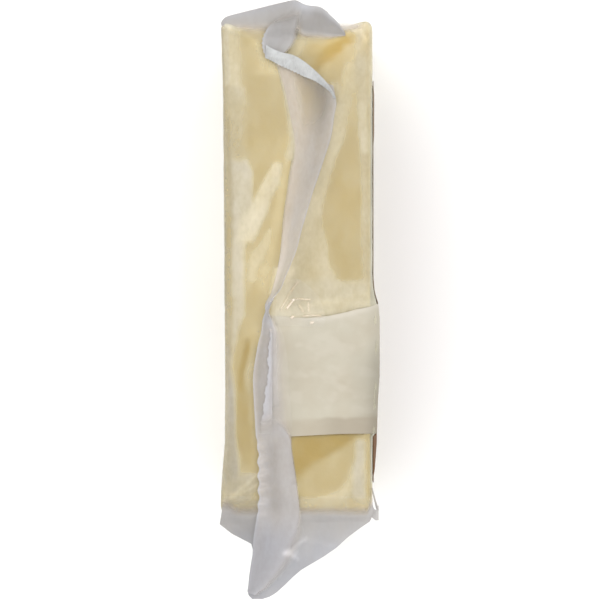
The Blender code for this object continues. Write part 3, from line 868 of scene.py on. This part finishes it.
# Its wrinkles, told like the ridges.
CRINKLES = (
    (0.3, 0.22, 1, (-2.6, -9.6), (-1.1, -7.8)),
    (0.2, 0.16, 0.7, (-1.9, -7.7), (0.6, -7.5), (2.6, -7.7)),
    (0.2, 0.16, 0.6, (2.3, -8.4), (2.4, -10.2)),
    (0.15, 0.22, 0.4, (-0.1, -3.6), (-2.2, -6.6), (-4, -10)),
    (0.2, 0.26, 0.9, (-1.5, -11.7), (-1.1, -11.5)),
    (0.2, 0.2, 0.55, (1.1, -11.4), (3.4, -11.2), (5.2, -11.4)),
    (0.15, 0.22, 0.7, (2.9, -13), (3.4, -12.8)),
    (0.2, 0.2, 0.4, (0.2, -9), (1.2, -10.4)),
)


def crinkle_form(rows, u, v):
    x, y, z = layers(rows)
    z += ridge_relief(x, y, CRINKLES)[0]


def crinkle_looks(rows, u, v):
    x, y = layers(rows)[:2]
    painted_glint = ridge_relief(x, y, CRINKLES)[1]
    # The wrinkles are whiter and lighter along their crests, as painted glints.
    return 0.8 * painted_glint - 0.05, 0.2 + 0.6 * painted_glint, 0


# Corner of film beside the plain end, and the thin loop that joins it to the block.
CORNER_LINES = (
    ((16.7, -57.2, -1), (16.9, -54.6, -1)), ((17.6, -57.9, -1), (17.6, -55.6, -0.9)),
    ((18.3, -57.9, -1), (18.3, -54.5, -0.9)),
)
LOOP_LINES = (
    ((16.7, -50.6, -1.2), (16.9, -50.6, -0.8)), ((17.15, -52.6, -1.2), (17.4, -52.5, -0.8)),
    ((17.6, -54.6, -1.2), (17.95, -54.3, -0.8)), ((18.05, -56, -1.2), (18.35, -55.6, -0.8)),
)


# -------- the folded end

# The tent of film over the folded end: its crest, and its foot on the upper side.
CREST = (
    (-17.6, 55.4, -0.9), (-16.4, 56.7, -0.4), (-12.6, 57.7, 0.3), (-9.2, 58.5, 0.8), (-5.5, 59.4, 1.2),
    (-1.9, 60.2, 1.4), (-0.5, 60.3, 1.4), (1.1, 59.5, 1.4), (2.6, 59.1, 1.3), (5.2, 58.7, 1.1),
    (7.2, 57, 0.8), (9.1, 55.2, 0.5), (10.7, 52.8, 0.1),
)
FOOT = (
    (-17.3, 54.2, -0.4), (-16, 53.4, 0), (-14.4, 52.6, 0.1), (-11, 51.8, 0.1), (-8.3, 51.4, 0.1),
    (-4.2, 51.2, 0.1), (-2, 51.4, 0.1), (0.4, 51.7, 0.1), (2.6, 51.5, 0.1), (5, 51.4, 0.1),
    (7, 51.5, 0.1), (8.9, 51.9, 0.1), (10.8, 52.4, 0),
)
# The film right of the tent, the flap folded back over the upper side, and its crimped band.
CORNER_FILM_LINES = (
    ((8.2, 55.3, 0.1), (8.8, 52.9, 0.15)), ((10.9, 55.4, 0.1), (11.2, 53, 0.15)),
    ((13.2, 55.4, 0.1), (13.3, 53.5, 0.15)), ((15.6, 55.2, 0), (15.2, 54.2, 0.1)),
)
FLAP_LINES = (
    ((-3.4, 57, 2), (1, 58.9, 2.3)), ((-5, 55.8, 1.8), (0.9, 57.6, 2.1)),
    ((-6.4, 54.7, 1.7), (0.5, 56.3, 1.8)), ((-7.4, 53.3, 1.7), (0.3, 54.7, 1.4)),
    ((-8, 51.9, 1.7), (0, 53.1, 0.85)), ((-8.2, 50.6, 1.8), (-0.3, 51.5, 0.7)),
    ((-8, 49, 1.7), (-1.3, 49.9, 0.9)), ((-7.4, 47.5, 1.4), (-2.6, 48.6, 1.3)),
)
BAND_LINES = (
    ((-7.3, 50.2, 2.2), (-7.5, 47.3, 1.2)), ((-5.8, 49.3, 2.3), (-6, 46.6, 1.3)),
    ((-3.9, 48.5, 2.4), (-4.2, 45.6, 1.4)), ((-2.1, 48.1, 2.5), (-2.4, 44.8, 1.6)),
    ((-0.5, 47.5, 2.7), (-0.5, 43.9, 1.9)), ((1.6, 46.2, 3), (1.5, 42.9, 2.3)),
    ((3.7, 44.4, 3.2), (3.3, 42.2, 2.7)), ((5.9, 42.2, 3.4), (5.1, 41.1, 3)),
    ((7.5, 40.1, 3.6), (7, 39.6, 3.3)), ((8.5, 38.1, 3.7), (8.1, 37.9, 3.5)),
)
FLAP_CREASE = ((1, 58.4), (0.3, 54.4), (-0.3, 51.8), (-2, 49.2))


def flap_form(rows, u, v):
    x, y, z = layers(rows)
    crease = bell(path_distance(x, y, FLAP_CREASE), 0, 0.8)
    x += 0.1 * np.sin(y * 6.3) * fall(v, 0, 0.12) * ramp(u, 0.3, 0.5)
    z += 0.2 * crease - 0.3 * hump(v, 0.1, 0.5, 0.95) * hump(u, 0.1, 0.6, 1) + 0.08 * cloud(rows, 2.5, 6, 2)


def flap_looks(rows, u, v):
    x, y = layers(rows)[:2]
    crease = bell(path_distance(x, y, FLAP_CREASE), 0, 0.9)
    rim = fall(v, 0, 0.13) * ramp(u, 0.25, 0.5)
    rise = ramp(u, 0, 0.4) * fall(v, 0.82, 1)
    haze = rise * (0.9 + 0.06 * cloud(rows, 3, 8, 2))
    # The crease and the left rim are painted lighter, as highlights along them.
    tone_and_painted_light = 0.12 * ramp(u, 0.3, 1) + 0.1 * crease + 0.16 * rim + 0.14 * rise - 0.31
    return haze, tone_and_painted_light, 1 + 0.4 * rim - 0.7 * rise


def band_form(rows, u, v):
    y, z = layers(rows)[1:]
    ridges = np.sin(2 * math.pi * (34 * u + 0.8 * v + 0.3 * np.sin(9 * u)))
    teeth = 0.1 * np.sin(2 * math.pi * u * 23) + 0.1 * np.sin(2 * math.pi * u * 51)
    y += teeth * v ** 4 * hump(u, 0, 0.4, 1)
    z += 0.05 * ridges * ramp(v, 0.1, 0.5)
    z += 0.2 * hump(v, -0.2, 0.4, 1.1) + 0.12 * cloud(rows, 2, 6, 3)


def band_looks(rows, u, v):
    grain = cloud(rows, 1.6, 8, 3)
    tone_and_painted_light = 0.1 * grain - 0.03 - 0.12 * hump(u, -0.2, 0, 0.12) - 0.2 * ramp(u, 0.6, 0.85)
    return 0.88 + 0.1 * grain, tone_and_painted_light, 0.3


def gusset_form(rows, u, v):
    x, _, z = layers(rows)
    z += 0.3 * hump(x, -3, 1.2, 4.5) * hump(v, -0.4, 0.5, 1)
    z -= 0.3 * hump(x, 2, 6, 10) * hump(v, 0, 0.45, 1)
    z += 0.1 * cloud(rows, 4, 3, 2) * hump(v, -0.2, 0.5, 1)


def gusset_looks(rows, u, v):
    x = rows[:, :, 0]
    right = ramp(x, -0.5, 1.5)
    left = 1 - right
    tip = bell(x, 0.8, 2) * ramp(v, 0.4, 0.9)
    foot = hump(v, -0.1, 0.1 + 0.15 * left, 0.3 + 0.3 * left)
    haze = 0.9 * (left * ramp(v, 0.1, 0.62) + right * ramp(v, 0, 0.24)) + 0.04 * cloud(rows, 4, 5, 3)
    # Painted light and shade: lighter at the tip under the crest, and at the foot against the shade there;
    # the right part is painted darker as shade, and lighter again near the crest.
    tone_and_painted_light = 0.16 * tip - 0.06 * left + right * (0.3 * ramp(v, 0.76, 0.98) - 0.24) + 0.4 * foot
    return haze, tone_and_painted_light, 0.05 + 0.5 * ramp(v, 0.6, 1) + 0.4 * tip


def corner_film_looks(rows, u, v):
    streaks = 0.6 + 0.3 * cloud(rows, 1.6, 3, 2, (3, 0.5, 1))
    return streaks * hump(v, -0.1, 0.4, 1) * fall(u, 0.6, 1), 0.14, 0


def make_gusset(finish):
    """The tent of film between the folded end and its crest, with the far layer behind it."""
    near = list(zip(FOOT, CREST))
    line_sheet("folded_gusset_near", near, (110, 20), finish, gusset_looks, FOLD_FILM, gusset_form)
    line_sheet("corner_film", CORNER_FILM_LINES, (40, 16), finish, corner_film_looks, FOLD_FILM)
    behind = [(x, END_Y - 1, -4 - 8 * ramp(y - END_Y, 0, 4)) for x, y, _ in CREST]
    line_sheet("folded_gusset_far", list(zip(behind, CREST)), (110, 12), finish, (0.7, 0, 0.3), FOLD_FILM)


# -------- seals and tucked ears on the end faces

# The block's ends: name, which way it faces, and how far its seal flange stands out.
ENDS = (("plain", -1, 3.4), ("folded", 1, 2.6))
FLANGE_LOW_Z = 6
FLANGE_HIGH_Z = 48
FLANGE_ROOT_X = -1.5
FLANGE_EDGE_X = 6.4
FLANGE_STEPS = 16
# A lower ear folded up against an end: height, half its breadth, and how far it stands off.
TUCK_OUTLINE = ((1.6, 14.6, 0), (6, 12, 0.25), (13, 8, 0.4), (19.5, 4.6, 0.5))


def make_flange(name, end, reach, finish):
    """The seal flange on one end of the block, leaning towards the label."""
    t = np.linspace(0, 1, 120)
    z = FLANGE_LOW_Z + (FLANGE_HIGH_Z - FLANGE_LOW_Z) * t
    wave = 0.4 * np.sin(3 * math.pi * t) + 0.12 * np.sin(2 * math.pi * z / PUFF_PITCH)
    drawn_in = PINCH_DEPTH * ramp(t, 0.7, 1) * (end > 0)
    root = points_at(FLANGE_ROOT_X, end * (END_Y - 1 - drawn_in), z)
    free = points_at(FLANGE_EDGE_X + wave, end * (END_Y + reach + 0.5 * wave), z)
    haze = 0.5 + 0.4 * ramp(np.linspace(0, 1, FLANGE_STEPS + 1), 0.7, 1)
    rows = between(root, free, FLANGE_STEPS)
    add_sheet(name, rows, finish, look_values((haze, 0, 0.3)), FIN_FILM)


def make_tuck(name, end, finish):
    """A lower ear, folded up flat against one end."""
    z, half, lift = smooth_through(TUCK_OUTLINE, 50).T
    y = end * (END_Y + lift + 0.15)
    rows = between(points_at(-half, y, z), points_at(half, y, z), 30)
    values = look_values((0.7 + 0.2 * cloud(rows, 5, 3, 2), 0, 0.2))
    add_sheet(name, rows, finish, values, FIN_FILM)


# -------- the label

PAPER = 0.14
PAPER_GAP = 0.16
# Where the tab ends, and its two edges: places across the pack and along it.
TAB_END_X = -6
TAB_TOP_EDGE = ((-6.1, -11.3), (-2.1, -11.7), (2.2, -11.9), (6.7, -11.4), (11, -10.5), (15.4, -9.2),
                (17.7, TAB_HIGH_Y))
TAB_LOW_EDGE = ((-6, -38.8), (-1.9, -38.8), (9.5, -38.2), (17.7, TAB_LOW_Y))
# The glued strip by the tab's lower edge, and the size of the bend over the block's edge.
GLUED_WIDTH = 3.9
FOLD_ACROSS = 3.4
FOLD_DOWN = 2.6


def tab_edges(x):
    """Where the tab's lower and upper edges are along the block, at places across it."""
    return np.interp(x, *zip(*TAB_LOW_EDGE)), np.interp(x, *zip(*TAB_TOP_EDGE))


def label_path():
    """Rows of x, z and whether they are on the tab, from the panel's bottom to the tab's end."""
    face_x = SIDE_X + PAPER_GAP + PAPER / 2
    top_z = WIDTH + PAPER_GAP + PAPER / 2
    centre_x = face_x - FOLD_ACROSS
    centre_z = top_z - FOLD_DOWN
    path = [(face_x, z, 0) for z in np.linspace(PANEL_BOTTOM_Z, centre_z, 60)]
    path += [(centre_x + FOLD_ACROSS * math.cos(angle), centre_z + FOLD_DOWN * math.sin(angle), 1)
             for angle in np.linspace(0, math.pi / 2, 17)[1:]]
    path += [(x, top_z, 1) for x in np.linspace(centre_x, TAB_END_X, 80)[1:]]
    return np.array(path)


def label_looks(points, on_tab):
    """The label's looks at its points. The tab's upper edge and soft lumps are raised on the way."""
    x, y, z = layers(points)
    low, high = tab_edges(x)
    ridge = bell(high - y, 0.5, 0.9) * ramp(x, -1, 5)
    mottle = cloud(points, 6, 4, 3, (1, 0.6, 1))
    z += on_tab * fall(x, SIDE_X - 2.5, SIDE_X) * (0.3 * ridge + 0.06 * mottle + 0.06)
    glued = fall(y - low + 0.5 * mottle, GLUED_WIDTH - 0.7, GLUED_WIDTH + 0.3)
    warm = on_tab * glued * (0.5 + 0.3 * mottle + 0.5 * ramp(x, 0, 10))
    # `pale` is a painted highlight along the tab's upper edge, and paler paper mottles elsewhere.
    pale = on_tab * (0.9 * ridge + 0.3 * ramp(mottle, 0, 0.6) * (1 - glued))
    # Painted light and shade on the tab: lighter near its upper edge on the left, and darker towards the
    # right, where it bends down over the block's edge.
    tone_and_painted_light = 0.14 * ramp(y - high, -4.5, -1) * fall(x, -1, 3)
    tone_and_painted_light -= 0.06 * bell(x, -1.2, 2) * fall(y, -22, -16)
    tone_and_painted_light -= 0.18 * ramp(x, 14.5, 18) * (1 - 0.5 * ramp(y, -20, -15))
    tone_and_painted_light -= 0.14 * ramp(x, 10, 15.5) * fall(y, -24, -16)
    tone_and_painted_light -= 0.1 * glued * hump(x, 3, 9, 15.5)
    ink = (1 - on_tab) * (1 - 0.7 * ramp(z, PANEL_TOP_Z - 1.5, PANEL_TOP_Z) * (y > TAB_HIGH_Y))
    return {"ink": ink, "warm": np.clip(warm, 0, 1), "pale": pale, "tone_and_painted_light": on_tab * tone_and_painted_light}


def make_label(finish):
    """The paper label: a panel on the +X face, and a tab wrapped over the upper edge."""
    columns = np.concatenate((
        np.linspace(PANEL_LOW_Y, TAB_LOW_Y, 30)[:-1],
        np.linspace(TAB_LOW_Y, TAB_HIGH_Y, 110),
        np.linspace(TAB_HIGH_Y, PANEL_HIGH_Y, 70)[1:],
    ))
    x, z, on_tab = label_path().T[:, :, None]
    low, high = tab_edges(x)
    share = (columns - TAB_LOW_Y) / (TAB_HIGH_Y - TAB_LOW_Y)
    y = np.where(on_tab, low + share * (high - low), columns)
    x = x + label_bulge(y, np.minimum(z, PANEL_TOP_Z)) * ramp(x, SIDE_X - 5, SIDE_X - 1.5)
    points = points_at(x, y, z)
    values = label_looks(points, on_tab)
    kept = (on_tab == 0) | ((share >= 0) & (share <= 1))
    piece = add_sheet("label_paper", points, finish, values, PAPER, kept)
    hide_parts("paper_label")


# -------- floor, light and camera

FLOOR_HALF = 1500
SKY_STRENGTH = 1.2
# Square area lights: where each one stands, in metres, and its power. They aim at the pack's middle.
LIGHTS = {
    "key_left": ((-0.4, 0.45, 1.1), 2.25),
    "key_right": ((0.25, 0.35, 1.15), 1.75),
}
LIGHT_AIM = (0, 0, 0.04)
LIGHT_SIZE = 0.8


def make_stage(finish):
    corners = np.array(((-1, -1, 0), (1, -1, 0), (1, 1, 0), (-1, 1, 0)))
    floor = mesh_object("floor", FLOOR_HALF * corners, [(0, 1, 2, 3)], finish)


def make_light():
    world = bpy.data.worlds.new("studio")
    world.use_nodes = True
    sky = {"Color": (1, 1, 1), "Strength": SKY_STRENGTH}
    fill_sockets(world.node_tree, world.node_tree.nodes["Background"], sky)
    bpy.context.scene.world = world
    for name, (place, power) in LIGHTS.items():
        data = bpy.data.lights.new(name, "AREA")
        data.shape = "SQUARE"
        data.size = LIGHT_SIZE
        data.energy = power
        lamp = put_in_scene(name, data)
        lamp.location = place
        lamp.rotation_euler = (Vector(LIGHT_AIM) - Vector(place)).to_track_quat("-Z", "Y").to_euler()


def make_camera():
    data = bpy.data.cameras.new("camera")
    data.lens = LENS
    data.sensor_width = SENSOR
    camera = put_in_scene("camera", data)
    distance = PHOTO_SIDE * PIXEL * LENS / SENSOR
    middle = PHOTO_SIDE / 2
    camera.location = (
        (middle - ORIGIN_PX[0]) * PIXEL * MM,
        (ORIGIN_PX[1] - middle) * PIXEL * MM,
        (WIDTH + distance) * MM,
    )
    bpy.context.scene.camera = camera
    bpy.context.scene.view_settings.view_transform = "Standard"


def make_loose_film(fin_film, fold_film, band_film):
    """The sheets of film that stand off the block."""
    line_sheet("seal_fin", FIN_LINES, (420, 26), fin_film, fin_looks, FIN_FILM, fin_form)
    line_sheet("seal_fin_front_ply", PLY_LINES, (120, 14), fin_film, ply_looks, FIN_FILM, ply_form)
    line_sheet("film_crinkle", CRINKLE_LINES, (80, 76), fin_film, crinkle_looks, CRINKLE_FILM, crinkle_form)
    line_sheet("plain_end_ear", EAR_LINES, (150, 80), fold_film, ear_looks, EAR_FILM, ear_form, along_line)
    line_sheet("ear_corner", CORNER_LINES, (16, 8), fold_film, (0.8, 0, 0.4), EAR_FILM)
    line_sheet("ear_loop", LOOP_LINES, (30, 4), fold_film, (0.85, 0, 0.4), FOLD_FILM)
    make_gusset(fold_film)
    line_sheet("folded_flap", FLAP_LINES, (90, 36), fold_film, flap_looks, FIN_FILM, flap_form)
    line_sheet("crimped_band", BAND_LINES, (240, 16), band_film, band_looks, EAR_FILM, band_form)
    for name, end, reach in ENDS:
        make_flange(name + "_end_flange", end, reach, fin_film)
        make_tuck(name + "_end_tuck", end, fold_film)


def main():
    make_cheese(cheese_material())
    make_skin(film_material("film_over_cheese", ((0.89, 0.845, 0.57), 0.03), ((0.79, 0.73, 0.61), 0.8),
                            (260, 0.14), 0))
    make_loose_film(
        film_material("film_seal", ((0.74, 0.63, 0.49), 0), ((0.645, 0.61, 0.585), 0.75),
                      (320, 0.07), 0.3),
        film_material("film_fold", ((0.62, 0.54, 0.43), 0), ((0.47, 0.45, 0.435), 0.88),
                      (200, 0.07), 0.12),
        film_material("film_crimp", ((0.6, 0.585, 0.545), 0.3), ((0.575, 0.575, 0.555), 0.95),
                      (900, 0.12), 0.1),
    )
    make_label(paper_material())
    make_stage(floor_material())
    make_light()
    make_camera()


main()
